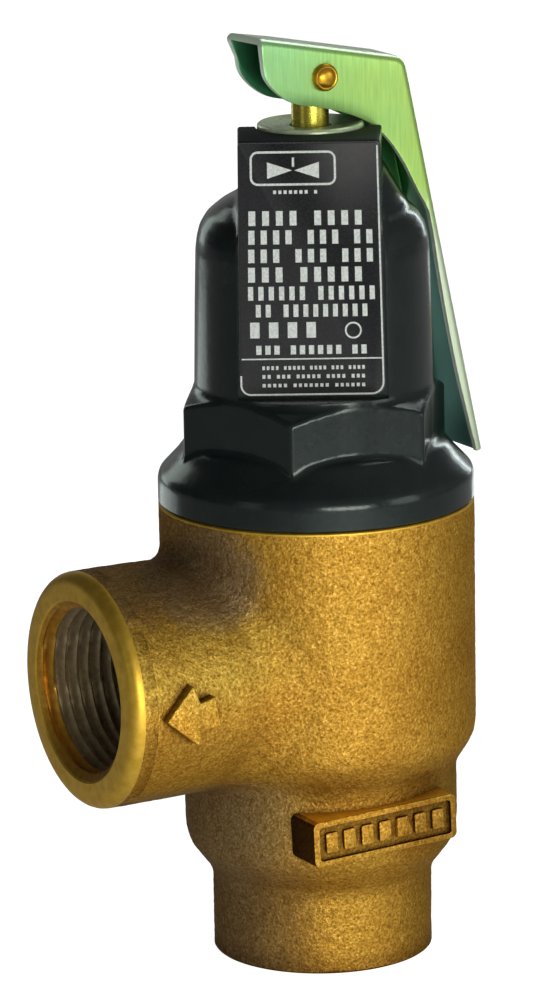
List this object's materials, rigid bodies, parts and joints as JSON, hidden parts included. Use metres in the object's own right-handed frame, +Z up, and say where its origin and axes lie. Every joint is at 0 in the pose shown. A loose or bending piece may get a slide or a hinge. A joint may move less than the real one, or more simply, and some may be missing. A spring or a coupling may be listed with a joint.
{
  "type": "pressure relief valve",
  "caption": "Angle-pattern pressure relief valve: cast bronze body, threaded bottom inlet and side outlet, black hex bonnet with spring column, and a sheet-metal test lever on a pinned stem.",
  "frame": {"origin": "centre of the whole object's footprint at the level of the inlet's bottom face; the valve axis stands 8.775 mm from it along +X", "axes": "+Z up the valve axis, -X out of the side outlet, +X towards the test lever's handle"},
  "size_m": [0.0762, 0.0544, 0.1616],
  "materials": {
    "cast_bronze": "sand-cast, grainy, satin",
    "black_enamel": "gloss black enamel over a smooth casting",
    "plate_ink": "black printed foil plate",
    "bright_washer": "bright yellow-zinc plated",
    "turned_brass": "turned and polished",
    "trim_brass": "machined",
    "plain_steel": "machined",
    "spring_steel": "drawn wire",
    "elastomer": "matte",
    "plated_lever": "green-tinted zinc plate, brushed sheet"
  },
  "bodies": {
    "housing": {"body": "cast_bronze", "bonnet": "black_enamel", "name_plate": "plate_ink", "bearing_washer": "bright_washer", "slip_ring": "plain_steel", "diaphragm": "elastomer", "spring": "spring_steel"},
    "valve_stem": {"stem": "turned_brass", "stem_retaining_ring": "plain_steel", "lower_spring_button": "plain_steel", "diaphragm_plate": "trim_brass", "diaphragm_nut": "trim_brass", "disc_holder": "trim_brass", "seat_disc": "elastomer", "disc_washer": "plain_steel", "disc_screw": "plain_steel", "lever_pin": "turned_brass"},
    "test_lever": {"lever": "plated_lever"},
    "spring_seat": {"upper_spring_button": "plain_steel"},
    "adjuster": {"adjusting_screw": "turned_brass"}
  },
  "joints": [
    {"name": "lift", "type": "slide", "parent": "housing", "child": "valve_stem", "axis": [0, 0, 1], "range_m": [0, 0.0032], "deforming": ["spring", "diaphragm"]},
    {"name": "lever_swing", "type": "hinge", "parent": "valve_stem", "child": "test_lever", "pos_m": [0.00877, 0, 0.1543], "axis": [0, -1, 0], "range_deg": [0, 75]},
    {"name": "adjust_travel", "type": "slide", "parent": "housing", "child": "spring_seat", "axis": [0, 0, 1], "range_m": [-0.0007, 0.0007], "deforming": ["spring"]},
    {"name": "adjust_turn", "type": "hinge", "parent": "spring_seat", "child": "adjuster", "pos_m": [0.00877, 0, 0.136], "axis": [0, 0, 1], "range_deg": [-180, 180]}
  ],
  "couplings": [
    {"joint": "lever_swing", "follows": "lift", "rad_per_m": 408.16},
    {"joint": "adjust_travel", "follows": "adjust_turn", "m_per_rad": 0.00020213}
  ]
}
